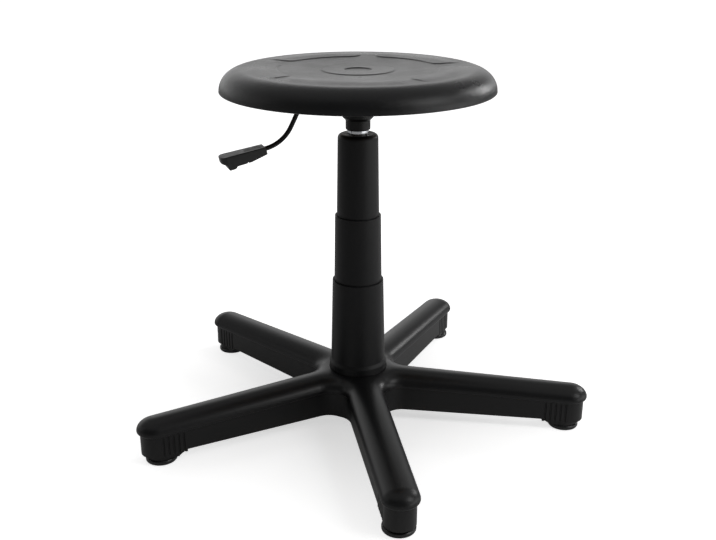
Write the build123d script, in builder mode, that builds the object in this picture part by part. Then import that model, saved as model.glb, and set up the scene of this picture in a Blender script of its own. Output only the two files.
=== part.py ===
# A workshop stool: a moulded round seat on a gas lift, a telescopic cover in three
# parts, a one-piece five-arm base on glides, and a bent lever that frees the lift.
# Millimetres, +Z up. The origin is on the floor, on the stool's own axis, and one
# arm of the base points along -Y. The stool stands at full height, as it is drawn.
import math
import os

from build123d import *

os.makedirs("parts", exist_ok=True)

# Clearances, overruns and turns used all over the stool
rest_gap = 0.3
nest_gap = 0.3
running_fit = 0.05
press_gap = 0.05
overrun = 1.0
full_turn = 360.0
half_turn = 180.0
quarter_turn = 90.0

# Base star: where its arms and feet lie
arm_count = 5
first_arm_turn = -90.0
glide_circle_radius = 287.8
tip_reach = 29.5
arm_root_half_width = 25.0
arm_tip_half_width = 23.3
root_fillet_radius = 25.0
root_run = 24.0

# Base star: heights of its walls, its lip and its rounded back
foot_drop = 8.8
lip_rise_root = 34.5
lip_rise_tip = 27.0
back_height_root = 18.9
back_height_tip = 18.0
lip_overhang = 4.0
lip_radius = 2.6
hub_height = 52.4
hub_radius = 36.0
collar_gap = 0.8

# Base star: hollow underside, ribs and feet
star_wall = 3.6
star_roof = 4.2
channel_start = 44.0
rib_thickness = 3.0
rib_recess = 4.0
cross_rib_count = 4
first_cross_rib = 92.0
last_rib_inset = 55.8
rib_root = 0.6
block_reach = 29.8
block_drop = 3.1
cup_radius = 18.5
cup_floor = 4.0
fairing_reach = 41.0
fairing_half_width = 17.0
boss_radius = 10.5
flute_count = 5
flute_first_reach = 25.8
flute_pitch = 6.8
flute_radius = 1.3
flute_stop = 3.0

# Steel ring pressed round the hub from below
hub_ring_inner_radius = 28.4
hub_ring_thickness = 2.6
hub_ring_height = 12.0
hub_ring_recess = 0.6

# Glides with their stems
glide_radius = 20.4
glide_height = 6.5
glide_edge_radius = 2.3
glide_floor = 2.6
stem_radius = 5.5
stem_height = 24.0
stem_chamfer = 1.2
grip_ring_rise = 12.0
grip_ring_height = 3.0
grip_ring_depth = 0.9
grip_ring_spring = 0.12
grip_ring_split = 1.6

# Outer tube of the gas lift and the bush in its mouth
tube_radius = 25.0
tube_wall = 1.5
tube_taper = 0.7
cylinder_held_length = 65.4
tube_floor = 3.0
tube_step = 1.4
bush_length = 62.0
bush_flange = 2.5
bush_flange_inset = 0.2

# Gas spring: cylinder, rod, piston and valve
stroke = 130.0
compressed_length = 289.0
cylinder_radius = 14.0
cylinder_wall = 1.5
cylinder_taper = 0.8
cylinder_taper_length = 33.0
cylinder_crimp = 5.5
cylinder_crimp_thickness = 2.0
cylinder_end = 3.0
end_guide_length = 16.0
rod_seal_length = 5.0
rod_radius = 5.0
rod_shoulder = 1.0
rod_tail = 6.0
piston_length = 12.0
piston_gap = 2.0
piston_ring_height = 3.0
piston_ring_depth = 2.0
piston_head_rise = 2.0
valve_length = 46.0
valve_seat = 8.0
pin_room = 5.0
pin_radius = 3.0
pin_rise = 4.6
pin_chamfer = 0.8

# Thrust bearing, bump stop and the clip under the tube's floor
race_outer_radius = 12.0
race_thickness = 1.3
ball_count = 8
ball_radius = 2.0
ball_track_radius = 8.6
ball_play = 0.02
cage_thickness = 1.6
cage_play = 0.15
bump_radius = 12.5
bump_height = 12.0
bump_waist = 2.0
floor_hole_play = 1.5
clip_washer_radius = 9.0
clip_washer_thickness = 1.4
clip_washer_gap = 0.1
clip_radius = 8.0
clip_thickness = 1.2
clip_groove_depth = 1.0
clip_mouth = 5.0

# Telescopic cover
cover_wall = 1.3
cover_bead = 0.7
cover_bead_height = 3.0
cover_overlap = 14.0
cover_lip_height = 1.6
upper_top_radius = 26.3
upper_widening = 2.0
upper_crown_radius = 5.6
upper_slot_count = 6
upper_slot_width = 1.6
upper_slot_length = 5.0
middle_widening = 1.7
middle_show_share = 0.454
lower_widening = 2.7
lower_height = 131.8
skirt_flare = 2.3
skirt_height = 11.0
skirt_slope = 4.6
cover_collar_gap = 5.0

# Mechanism under the seat
lever_turn = 190.6
socket_wall = 2.0
socket_length = 33.0
socket_neck = 12.5
socket_cone = 4.0
socket_cone_flare = 4.0
socket_collar = 7.5
socket_chamfer = 1.4
socket_top_gap = 2.0
housing_back = 26.0
housing_front = 38.0
housing_half_width = 21.0
housing_height = 19.5
housing_wall = 2.0
housing_corner = 8.0
housing_flange = 6.0
plate_side = 150.0
plate_thickness = 2.5
plate_corner = 18.0
plate_bolt_spacing = 120.0
plate_bolt_count = 4
first_bolt_turn = 45.0
plate_bead_width = 9.0
plate_bead_depth = 1.6
plate_bead_gap = 6.0
plate_bead_slope = 30.0

# Seat board and its fasteners
board_inset = 45.0
board_thickness = 11.0
bolt_radius = 4.0
bolt_length = 12.0
bolt_hole_play = 0.5
bolt_head_across = 13.0
bolt_head_height = 5.3
washer_radius = 8.0
washer_thickness = 1.6
tee_barrel_radius = 5.0
tee_barrel_length = 9.0
tee_flange_radius = 10.0
tee_flange_thickness = 1.5

# Seat
seat_radius = 175.0
seat_thickness = 33.0
seat_edge_width = 29.0
seat_edge_height = 26.0
seat_edge_rise = 5.4
seat_flat_inset = 38.0
seat_bottom_corner = 1.4
dish_inset = 57.0
dish_depth = 3.6
pad_count = 5
first_pad_turn = 37.6
pad_half_angle = 30.5
pad_inset = 32.0
pad_width = 41.0
pad_corner = 13.0
pad_rise = 1.7
pad_edge = 1.5
button_radius = 46.0
button_rise = 1.7
button_recess_radius = 17.0
button_recess_depth = 2.4
button_edge = 1.5

# Release lever
lever_rod_radius = 3.0
lever_pivot_reach = 27.0
lever_pivot_drop = 4.0
lever_play = 0.4
lever_tail = 5.0
lever_knee_reach = 33.0
lever_slope_reach = 77.9
lever_slope_drop = 6.9
lever_foot_reach = 99.7
lever_foot_drop = 49.5
lever_grip_slope = 11.5
lever_knee_radius = 30.0
lever_shoulder_radius = 14.0
lever_foot_radius = 48.0
sleeve_radius = 4.4
sleeve_side_gap = 1.0
pivot_radius = 2.5
pivot_head_radius = 4.0
pivot_head_thickness = 1.8
slot_play = 0.8
grip_start = 24.8
grip_length = 58.0
grip_half_width_root = 10.5
grip_half_width_tip = 12.4
grip_above_root = 4.3
grip_above_tip = 6.0
grip_below_root = 4.9
grip_below_tip = 1.8
grip_belly_at = 22.0
grip_belly_depth = 8.8
grip_corner = 7.0
grip_root_corner = 2.5
grip_edge = 1.2
grip_nub_from = 40.0
grip_nub_to = 51.0
grip_nub_depth = 11.4
grip_nub_slope = 3.0
grip_nub_radius = 1.2
grip_notch_at = 26.0
grip_notch_width = 1.8
grip_notch_depth = 1.0
grip_groove_count = 3
grip_groove_pitch = 4.2
grip_groove_width = 1.2
grip_groove_start = 5.0
grip_groove_end = 27.0
grip_rod_depth = 34.0

# Reaches, worked out from the radius of the seat and from that of the glides' circle
seat_flat_radius = seat_radius - seat_flat_inset
dish_radius = seat_radius - dish_inset
pad_outer_radius = seat_radius - pad_inset
pad_inner_radius = pad_outer_radius - pad_width
board_radius = seat_radius - board_inset
last_cross_rib = glide_circle_radius - last_rib_inset

# Heights, worked out from the floor up
foot_bottom = glide_height + rest_gap
star_bottom = foot_bottom + foot_drop
block_bottom = star_bottom - block_drop
hub_top = star_bottom + hub_height
tube_bottom = star_bottom + tube_step
cylinder_top = tube_bottom + compressed_length + stroke
tube_floor_top = tube_bottom + tube_floor
ball_level = tube_floor_top + race_thickness + ball_radius + ball_play
upper_race_low = ball_level + ball_radius + ball_play
upper_race_top = upper_race_low + race_thickness
bump_top = upper_race_top + bump_height
cylinder_bottom = bump_top + rod_shoulder + stroke
tube_top = cylinder_bottom + cylinder_held_length
end_guide_low = cylinder_bottom + cylinder_crimp_thickness
end_guide_top = end_guide_low + end_guide_length
rod_seal_top = end_guide_top + rod_seal_length
piston_low = rod_seal_top + piston_gap
piston_top = piston_low + piston_length
valve_low = cylinder_top - valve_length
socket_bottom = cylinder_top + socket_top_gap - socket_length
socket_top = cylinder_top + socket_top_gap
socket_collar_low = socket_bottom + socket_neck + socket_cone
housing_bottom = socket_collar_low + socket_collar
plate_bottom = housing_bottom + housing_height
plate_top = plate_bottom + plate_thickness
board_top = plate_top + board_thickness
seat_rim = plate_top + seat_thickness
lower_top = hub_top + lower_height
upper_top = socket_bottom - cover_collar_gap
middle_top = lower_top + (upper_top - lower_top) * middle_show_share

# Directions
half_step = math.pi / arm_count
arm_turns = [first_arm_turn + number * full_turn / arm_count for number in range(arm_count)]
lever_x = math.cos(math.radians(lever_turn))
lever_y = math.sin(math.radians(lever_turn))
lever_plane = Plane(origin=(0, 0, 0), x_dir=(lever_x, lever_y, 0), z_dir=(lever_y, -lever_x, 0))


def seat_plane(height):
    """A level plane that is turned with the lever."""
    return Plane(origin=(0, 0, height), x_dir=(lever_x, lever_y, 0), z_dir=(0, 0, 1))


def plain_ring(inner_radius, outer_radius, low, height):
    """A flat washer, race or ring on the stool's axis."""
    with BuildPart() as ring:
        with BuildSketch(Plane.XY.offset(low)):
            Circle(outer_radius)
            Circle(inner_radius, mode=Mode.SUBTRACT)
        extrude(amount=height)
    return ring


# Base star. Each arm is a lipped, round-backed channel. Its half width follows the
# round corner that it shares with the next arm, then tapers evenly to the tip.
corner_reach = (arm_root_half_width + root_fillet_radius) / math.sin(half_step)
root_end = corner_reach * math.cos(half_step)
corner_end = (corner_reach - root_fillet_radius) * math.cos(half_step)
tip_radius = glide_circle_radius + tip_reach
tip_centre = tip_radius - arm_tip_half_width
root_stations = [corner_end + (root_end - corner_end) * step / 3 for step in range(4)]


def along(station, at_root, at_tip):
    """A size that changes evenly from the arm's root to its tip."""
    return at_root + (at_tip - at_root) * (station - root_end) / (tip_centre - root_end)


def straight_half_width(station):
    return along(station, arm_root_half_width, arm_tip_half_width)


def arm_half_width(station):
    if station >= root_end:
        return straight_half_width(station)
    inward = root_end - station
    chord = math.sqrt(root_fillet_radius**2 - inward**2)
    return arm_root_half_width + root_fillet_radius - chord


def lip_level(station):
    return star_bottom + along(station, lip_rise_root, lip_rise_tip)


def back_height(station):
    return along(station, back_height_root, back_height_tip)


def across_plane(station):
    return Plane(origin=(station, 0, 0), x_dir=(0, 1, 0), z_dir=(1, 0, 0))


def arm_section(station, lip_half):
    """The arm cut across: upright walls, a rounded lip outside them and a round back."""
    wall_half = lip_half - lip_overhang
    lip = lip_level(station)
    with BuildSketch(across_plane(station)) as section:
        with BuildLine():
            Polyline(
                (-lip_half + lip_radius, lip),
                (-wall_half, lip),
                (-wall_half, star_bottom),
                (wall_half, star_bottom),
                (wall_half, lip),
                (lip_half - lip_radius, lip),
            )
            CenterArc(
                (lip_half - lip_radius, lip + lip_radius), lip_radius, -quarter_turn, quarter_turn
            )
            EllipticalCenterArc(
                (0, lip + lip_radius),
                lip_half,
                back_height(station) - lip_radius,
                0,
                arc_size=half_turn,
            )
            CenterArc(
                (-lip_half + lip_radius, lip + lip_radius), lip_radius, half_turn, quarter_turn
            )
        make_face()
    return section.sketch


def channel_section(station, low, growth):
    """The arm's hollow cut across, open below, or what fills it where growth is positive."""
    half = straight_half_width(station) - lip_overhang - star_wall + growth
    lip = lip_level(station)
    with BuildSketch(across_plane(station)) as section:
        with BuildLine():
            Polyline((-half, lip), (-half, low), (half, low), (half, lip))
            EllipticalCenterArc(
                (0, lip), half, back_height(station) - star_roof + growth, 0, arc_size=half_turn
            )
        make_face()
    return section.sketch


# The innermost section runs on in a straight line, and a wedge trims it at both
# neighbours, so that the arms meet face to face
corner_slope = (root_end - corner_end) / (
    arm_root_half_width + root_fillet_radius - arm_half_width(corner_end)
)
inner_station = corner_end - root_run
inner_half = arm_half_width(corner_end) + root_run * corner_slope
wall_half_tip = arm_tip_half_width - lip_overhang
tip_plane = Plane(origin=(tip_centre, 0, 0), x_dir=(0, -1, 0), z_dir=(-1, 0, 0))
tip_axis = Axis((tip_centre, 0, 0), (0, 0, 1))
block_start = glide_circle_radius - block_reach
wall_half_block = arm_half_width(block_start) - lip_overhang
rib_low = star_bottom + rib_recess

with BuildPart() as arm:
    loft(
        [arm_section(inner_station, inner_half)]
        + [arm_section(station, arm_half_width(station)) for station in root_stations]
    )
    loft([arm_section(station, arm_half_width(station)) for station in (root_end, tip_centre)])

    wedge_half = tip_radius * math.tan(half_step)
    with BuildSketch(Plane.XY):
        Polygon(
            (0, 0), (tip_radius, -wedge_half), (tip_radius, wedge_half), align=None
        )
    extrude(amount=hub_top + back_height_tip, mode=Mode.INTERSECT)

    # Rounded tip, turned from half of the last section
    tip_lip = lip_level(tip_centre)
    with BuildSketch(tip_plane):
        with BuildLine():
            Polyline(
                (0, tip_lip + back_height_tip),
                (0, star_bottom),
                (wall_half_tip, star_bottom),
                (wall_half_tip, tip_lip),
                (arm_tip_half_width - lip_radius, tip_lip),
            )
            CenterArc(
                (arm_tip_half_width - lip_radius, tip_lip + lip_radius),
                lip_radius,
                -quarter_turn,
                quarter_turn,
            )
            EllipticalCenterArc(
                (0, tip_lip + lip_radius),
                arm_tip_half_width,
                back_height_tip - lip_radius,
                0,
                arc_size=quarter_turn,
            )
        make_face()
    revolve(axis=tip_axis, revolution_arc=half_turn)

    # Foot block, a little deeper than the arm
    with BuildSketch(Plane.XY.offset(block_bottom)):
        Polygon(
            (block_start, -wall_half_block),
            (tip_centre, -wall_half_tip),
            (tip_centre, wall_half_tip),
            (block_start, wall_half_block),
            align=None,
        )
        with Locations((tip_centre, 0)):
            Circle(wall_half_tip)
    extrude(amount=block_drop + overrun)

    # Hollow underside
    loft(
        [channel_section(station, block_bottom - overrun, 0) for station in (channel_start, tip_centre)],
        mode=Mode.SUBTRACT,
    )
    channel_tip_half = wall_half_tip - star_wall
    with BuildSketch(tip_plane):
        with BuildLine():
            Polyline(
                (0, tip_lip + back_height_tip - star_roof),
                (0, block_bottom - overrun),
                (channel_tip_half, block_bottom - overrun),
                (channel_tip_half, tip_lip),
            )
            EllipticalCenterArc(
                (0, tip_lip), channel_tip_half, back_height_tip - star_roof, 0, arc_size=quarter_turn
            )
        make_face()
    revolve(axis=tip_axis, revolution_arc=half_turn, mode=Mode.SUBTRACT)

    # One rib along the arm and several across it
    with BuildSketch(Plane.XZ):
        Polygon(
            (channel_start - rib_root, rib_low),
            (tip_centre, rib_low),
            (tip_centre, tip_lip + back_height_tip - star_roof + rib_root),
            (
                channel_start - rib_root,
                lip_level(channel_start) + back_height(channel_start) - star_roof + rib_root,
            ),
            align=None,
        )
    extrude(amount=rib_thickness / 2, both=True)
    for number in range(cross_rib_count):
        spacing = (last_cross_rib - first_cross_rib) / (cross_rib_count - 1)
        extrude(
            channel_section(first_cross_rib + number * spacing, rib_low, rib_root),
            amount=rib_thickness,
        )

    # Cup over the glide, its boss, and the curved fairing on the cup's inner side
    with BuildSketch(Plane.XY.offset(foot_bottom)):
        with Locations((glide_circle_radius, 0)):
            Circle(cup_radius)
    extrude(amount=block_bottom - foot_bottom + cup_floor)
    with BuildSketch(Plane.XY.offset(foot_bottom)):
        with Locations((glide_circle_radius, 0)):
            Circle(boss_radius)
    extrude(amount=lip_level(glide_circle_radius) + star_roof - foot_bottom)
    with BuildSketch(Plane.XZ):
        with BuildLine():
            fairing_top = Line(
                (glide_circle_radius, star_bottom + star_roof),
                (glide_circle_radius - fairing_reach, star_bottom + star_roof),
            )
            fairing_drop = Line(
                fairing_top @ 1, (glide_circle_radius - fairing_reach, star_bottom)
            )
            fairing_curve = TangentArc(
                fairing_drop @ 1, (glide_circle_radius - cup_radius, foot_bottom), tangent=(1, 0)
            )
            Polyline(fairing_curve @ 1, (glide_circle_radius, foot_bottom), fairing_top @ 0)
        make_face()
    extrude(amount=fairing_half_width, both=True)

    # Bore for the glide's stem, and upright flutes on both sides of the foot block
    with BuildSketch(Plane.XY.offset(foot_bottom - overrun)):
        with Locations((glide_circle_radius, 0)):
            Circle(stem_radius + 2 * grip_ring_spring)
    extrude(amount=stem_height + rest_gap + 2 * overrun, mode=Mode.SUBTRACT)
    for number in range(flute_count):
        reach = glide_circle_radius - flute_first_reach + number * flute_pitch
        flute_wall = arm_half_width(reach) - lip_overhang
        with BuildSketch(Plane.XY.offset(block_bottom - overrun)):
            with Locations((reach, flute_wall), (reach, -flute_wall)):
                Circle(flute_radius)
        extrude(
            amount=lip_level(reach) - flute_stop - block_bottom + overrun, mode=Mode.SUBTRACT
        )


def tube_radius_at(height):
    """Outer radius of the gas lift's tube, which narrows evenly inside the hub."""
    if height >= hub_top:
        return tube_radius
    return tube_radius - tube_taper * (hub_top - height) / (hub_top - tube_bottom)


skirt_radius = (
    upper_top_radius
    + upper_widening
    + middle_widening
    + lower_widening
    + 2 * (cover_bead + nest_gap + cover_wall)
    + skirt_flare
)
with BuildPart() as base_star:
    with BuildSketch(Plane.XY.offset(star_bottom)):
        Circle(hub_radius)
    extrude(amount=hub_height)
    for turn in arm_turns:
        add(arm.part, rotation=(0, 0, turn))

    # Recess round the foot of the cover, and the tapered bore for the tube
    with BuildSketch(Plane.XY.offset(hub_top)):
        Circle(skirt_radius + collar_gap)
    extrude(amount=back_height_tip, mode=Mode.SUBTRACT)
    bore_low = star_bottom - overrun
    bore_high = hub_top + overrun
    with BuildSketch(Plane.XZ):
        Polygon(
            (0, bore_low),
            (tube_radius_at(bore_low) + press_gap, bore_low),
            (tube_radius_at(hub_top) + press_gap, hub_top),
            (tube_radius_at(hub_top) + press_gap, bore_high),
            (0, bore_high),
            align=None,
        )
    revolve(mode=Mode.SUBTRACT)

    # Groove for the steel ring
    with BuildSketch(Plane.XY.offset(star_bottom)):
        Circle(hub_ring_inner_radius + hub_ring_thickness + press_gap)
        Circle(hub_ring_inner_radius - press_gap, mode=Mode.SUBTRACT)
    extrude(amount=hub_ring_recess + hub_ring_height, mode=Mode.SUBTRACT)
base_star.part.label = "base_star"
export_step(base_star.part, "parts/base_star.step")

hub_ring = plain_ring(
    hub_ring_inner_radius,
    hub_ring_inner_radius + hub_ring_thickness,
    star_bottom + hub_ring_recess,
    hub_ring_height,
)
hub_ring.part.label = "hub_ring"
export_step(hub_ring.part, "parts/hub_ring.step")


# Glides: a hard plastic disc on a steel stem, held in the foot by a split spring ring
def glide_centre(turn):
    angle = math.radians(turn)
    return (glide_circle_radius * math.cos(angle), glide_circle_radius * math.sin(angle), 0)


stem_bottom = glide_floor
stem_top = foot_bottom + stem_height
grip_ring_low = foot_bottom + grip_ring_rise
grip_ring_inner = stem_radius - grip_ring_depth + running_fit

for number, turn in enumerate(arm_turns, start=1):
    centre = glide_centre(turn)
    upright = Plane(origin=centre, x_dir=(1, 0, 0), z_dir=(0, -1, 0))
    post = Axis(centre, (0, 0, 1))

    with BuildPart() as glide_foot:
        with BuildSketch(upright) as glide_profile:
            Rectangle(glide_radius, glide_height, align=(Align.MIN, Align.MIN))
            fillet(glide_profile.vertices().group_by(Axis.X)[-1], glide_edge_radius)
            with Locations((0, glide_floor)):
                Rectangle(
                    stem_radius + press_gap,
                    glide_height,
                    align=(Align.MIN, Align.MIN),
                    mode=Mode.SUBTRACT,
                )
        revolve(axis=post)
    glide_foot.part.label = f"glide_foot_{number}"
    export_step(glide_foot.part, f"parts/glide_foot_{number}.step")

    with BuildPart() as glide_stem:
        with BuildSketch(upright):
            Polygon(
                (0, stem_bottom),
                (stem_radius, stem_bottom),
                (stem_radius, grip_ring_low - running_fit),
                (stem_radius - grip_ring_depth, grip_ring_low - running_fit),
                (stem_radius - grip_ring_depth, grip_ring_low + grip_ring_height + running_fit),
                (stem_radius, grip_ring_low + grip_ring_height + running_fit),
                (stem_radius, stem_top - stem_chamfer),
                (stem_radius - stem_chamfer, stem_top),
                (0, stem_top),
                align=None,
            )
        revolve(axis=post)
    glide_stem.part.label = f"glide_stem_{number}"
    export_step(glide_stem.part, f"parts/glide_stem_{number}.step")

with BuildPart() as stem_grip_rings:
    for turn in arm_turns:
        with BuildSketch(Plane(origin=glide_centre(turn)).offset(grip_ring_low)):
            Circle(stem_radius + grip_ring_spring)
            Circle(grip_ring_inner, mode=Mode.SUBTRACT)
            with Locations((stem_radius, 0)):
                Rectangle(2 * grip_ring_depth + grip_ring_split, grip_ring_split, mode=Mode.SUBTRACT)
    extrude(amount=grip_ring_height)
stem_grip_rings.part.label = "stem_grip_rings"
export_step(stem_grip_rings.part, "parts/stem_grip_rings.step")

# Outer tube of the gas lift, jammed by its taper in the hub
tube_inner = tube_radius - tube_wall
floor_hole = rod_radius - rod_shoulder + floor_hole_play
with BuildPart() as column_tube:
    with BuildSketch(Plane.XZ):
        Polygon(
            (floor_hole, tube_bottom),
            (tube_radius_at(tube_bottom), tube_bottom),
            (tube_radius, hub_top),
            (tube_radius, tube_top),
            (tube_inner, tube_top),
            (tube_inner, hub_top),
            (tube_radius_at(tube_bottom) - tube_wall, tube_floor_top),
            (floor_hole, tube_floor_top),
            align=None,
        )
    revolve()
column_tube.part.label = "column_tube"
export_step(column_tube.part, "parts/column_tube.step")

# Acetal bush in the tube's mouth, with a flange on the rim
with BuildPart() as guide_bush:
    with BuildSketch(Plane.XZ):
        Polygon(
            (cylinder_radius + running_fit, tube_top - bush_length),
            (tube_inner - press_gap, tube_top - bush_length),
            (tube_inner - press_gap, tube_top),
            (tube_radius - bush_flange_inset, tube_top),
            (tube_radius - bush_flange_inset, tube_top + bush_flange),
            (cylinder_radius + running_fit, tube_top + bush_flange),
            align=None,
        )
    revolve()
guide_bush.part.label = "guide_bush"
export_step(guide_bush.part, "parts/guide_bush.step")

# Thrust bearing on the tube's floor: the seat turns on it
rod_tail_radius = rod_radius - rod_shoulder
race_inner_radius = rod_tail_radius + running_fit
lower_race = plain_ring(race_inner_radius + rest_gap, race_outer_radius, tube_floor_top, race_thickness)
lower_race.part.label = "bearing_lower_race"
export_step(lower_race.part, "parts/bearing_lower_race.step")

with BuildPart() as bearing_balls:
    with Locations(Plane.XY.offset(ball_level)):
        with PolarLocations(ball_track_radius, ball_count):
            Sphere(ball_radius)
bearing_balls.part.label = "bearing_balls"
export_step(bearing_balls.part, "parts/bearing_balls.step")

with BuildPart() as bearing_cage:
    with BuildSketch(Plane.XY.offset(ball_level - cage_thickness / 2)):
        Circle(race_outer_radius)
        Circle(race_inner_radius + rest_gap, mode=Mode.SUBTRACT)
        with PolarLocations(ball_track_radius, ball_count):
            Circle(ball_radius + cage_play, mode=Mode.SUBTRACT)
    extrude(amount=cage_thickness)
bearing_cage.part.label = "bearing_cage"
export_step(bearing_cage.part, "parts/bearing_cage.step")

upper_race = plain_ring(race_inner_radius, race_outer_radius, upper_race_low, race_thickness)
upper_race.part.label = "bearing_upper_race"
export_step(upper_race.part, "parts/bearing_upper_race.step")

# Rubber bump stop round the rod, waisted so that it can give
with BuildPart() as bump_stop:
    with BuildSketch(Plane.XZ):
        with BuildLine():
            bump_side = ThreePointArc(
                (bump_radius, upper_race_top),
                (bump_radius - bump_waist, upper_race_top + bump_height / 2),
                (bump_radius, bump_top),
            )
            Polyline(
                bump_side @ 1,
                (rod_radius + running_fit, bump_top),
                (rod_radius + running_fit, upper_race_top),
                bump_side @ 0,
            )
        make_face()
    revolve()
bump_stop.part.label = "bump_stop"
export_step(bump_stop.part, "parts/bump_stop.step")

# Washer and spring clip that hold the rod's tail under the floor
clip_washer_low = tube_bottom - clip_washer_gap - clip_washer_thickness
clip_low = clip_washer_low - clip_thickness
clip_washer = plain_ring(
    race_inner_radius, clip_washer_radius, clip_washer_low, clip_washer_thickness
)
clip_washer.part.label = "clip_washer"
export_step(clip_washer.part, "parts/clip_washer.step")

with BuildPart() as rod_clip:
    with BuildSketch(Plane.XY.offset(clip_low)):
        Circle(clip_radius)
        Circle(rod_tail_radius - clip_groove_depth + running_fit, mode=Mode.SUBTRACT)
        with Locations((clip_radius, 0)):
            Rectangle(2 * clip_radius, clip_mouth, mode=Mode.SUBTRACT)
    extrude(amount=clip_thickness)
rod_clip.part.label = "rod_clip"
export_step(rod_clip.part, "parts/rod_clip.step")

# Piston rod: it stands on the upper race and carries the piston at its head
rod_bottom = tube_bottom - rod_tail
with BuildPart() as piston_rod:
    with BuildSketch(Plane.XZ):
        Polygon(
            (0, rod_bottom),
            (rod_tail_radius, rod_bottom),
            (rod_tail_radius, clip_low - running_fit),
            (rod_tail_radius - clip_groove_depth, clip_low - running_fit),
            (rod_tail_radius - clip_groove_depth, clip_low + clip_thickness + running_fit),
            (rod_tail_radius, clip_low + clip_thickness + running_fit),
            (rod_tail_radius, upper_race_top),
            (rod_radius, upper_race_top),
            (rod_radius, piston_low),
            (rod_tail_radius, piston_low),
            (rod_tail_radius, piston_top + piston_head_rise),
            (0, piston_top + piston_head_rise),
            align=None,
        )
    revolve()
piston_rod.part.label = "piston_rod"
export_step(piston_rod.part, "parts/piston_rod.step")

# Piston with its seal ring
bore_radius = cylinder_radius - cylinder_wall
ring_low = (piston_low + piston_top - piston_ring_height) / 2
with BuildPart() as piston:
    with BuildSketch(Plane.XZ):
        Polygon(
            (rod_tail_radius + running_fit, piston_low),
            (bore_radius - 2 * running_fit, piston_low),
            (bore_radius - 2 * running_fit, ring_low),
            (bore_radius - piston_ring_depth, ring_low),
            (bore_radius - piston_ring_depth, ring_low + piston_ring_height),
            (bore_radius - 2 * running_fit, ring_low + piston_ring_height),
            (bore_radius - 2 * running_fit, piston_top),
            (rod_tail_radius + running_fit, piston_top),
            align=None,
        )
    revolve()
piston.part.label = "piston"
export_step(piston.part, "parts/piston.step")

piston_ring = plain_ring(
    bore_radius - piston_ring_depth + running_fit,
    bore_radius - running_fit,
    ring_low,
    piston_ring_height,
)
piston_ring.part.label = "piston_ring"
export_step(piston_ring.part, "parts/piston_ring.step")


# Chromed cylinder of the gas spring: it rises out of the tube and jams in the socket
def cylinder_radius_at(height):
    run = max(0, height - (cylinder_top - cylinder_taper_length))
    return cylinder_radius - cylinder_taper * run / cylinder_taper_length


with BuildPart() as gas_cylinder:
    with BuildSketch(Plane.XZ):
        Polygon(
            (cylinder_radius - cylinder_crimp, cylinder_bottom),
            (cylinder_radius, cylinder_bottom),
            (cylinder_radius, cylinder_top - cylinder_taper_length),
            (cylinder_radius_at(cylinder_top), cylinder_top),
            (pin_radius + running_fit, cylinder_top),
            (pin_radius + running_fit, cylinder_top - cylinder_end),
            (cylinder_radius_at(cylinder_top) - cylinder_wall, cylinder_top - cylinder_end),
            (bore_radius, cylinder_top - cylinder_taper_length),
            (bore_radius, end_guide_low),
            (cylinder_radius - cylinder_crimp, end_guide_low),
            align=None,
        )
    revolve()
gas_cylinder.part.label = "gas_cylinder"
export_step(gas_cylinder.part, "parts/gas_cylinder.step")

end_guide = plain_ring(
    rod_radius + running_fit, bore_radius - press_gap, end_guide_low, end_guide_length
)
end_guide.part.label = "cylinder_end_guide"
export_step(end_guide.part, "parts/cylinder_end_guide.step")

rod_seal = plain_ring(
    rod_radius + running_fit, bore_radius - press_gap, end_guide_top, rod_seal_length
)
rod_seal.part.label = "rod_seal"
export_step(rod_seal.part, "parts/rod_seal.step")

# Valve body in the cylinder's head, bored for the release pin
valve_radius = cylinder_radius_at(cylinder_top) - cylinder_wall - press_gap
pin_low = valve_low + valve_seat
pin_top = cylinder_top + pin_rise
with BuildPart() as valve_body:
    with BuildSketch(Plane.XZ):
        Polygon(
            (0, valve_low),
            (valve_radius, valve_low),
            (valve_radius, cylinder_top - cylinder_end),
            (pin_radius + running_fit, cylinder_top - cylinder_end),
            (pin_radius + running_fit, pin_low - pin_room),
            (0, pin_low - pin_room),
            align=None,
        )
    revolve()
valve_body.part.label = "valve_body"
export_step(valve_body.part, "parts/valve_body.step")

with BuildPart() as release_pin:
    with BuildSketch(Plane.XZ):
        Polygon(
            (0, pin_low),
            (pin_radius, pin_low),
            (pin_radius, pin_top - pin_chamfer),
            (pin_radius - pin_chamfer, pin_top),
            (0, pin_top),
            align=None,
        )
    revolve()
release_pin.part.label = "release_pin"
export_step(release_pin.part, "parts/release_pin.step")

# Telescopic cover: thin tapered tubes that hang in one another
upper_bottom_radius = upper_top_radius + upper_widening
middle_top_radius = upper_bottom_radius + cover_bead + nest_gap + cover_wall
middle_bottom_radius = middle_top_radius + middle_widening
lower_top_radius = middle_bottom_radius + cover_bead + nest_gap + cover_wall
lower_bottom_radius = lower_top_radius + lower_widening
upper_bottom = middle_top - cover_overlap
middle_bottom = lower_top - cover_overlap

with BuildPart() as cover_lower:
    skirt_top = hub_top + skirt_height
    with BuildSketch(Plane.XZ):
        Polygon(
            (skirt_radius - cover_wall, hub_top),
            (skirt_radius, hub_top),
            (skirt_radius, skirt_top),
            (lower_bottom_radius, skirt_top + skirt_slope),
            (lower_top_radius, lower_top),
            (middle_bottom_radius + nest_gap, lower_top),
            (middle_bottom_radius + nest_gap, lower_top - cover_lip_height),
            (lower_top_radius - cover_wall, lower_top - cover_lip_height),
            (lower_bottom_radius - cover_wall, skirt_top + skirt_slope),
            (skirt_radius - cover_wall, skirt_top),
            align=None,
        )
    revolve()
cover_lower.part.label = "cover_lower"
export_step(cover_lower.part, "parts/cover_lower.step")

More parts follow.
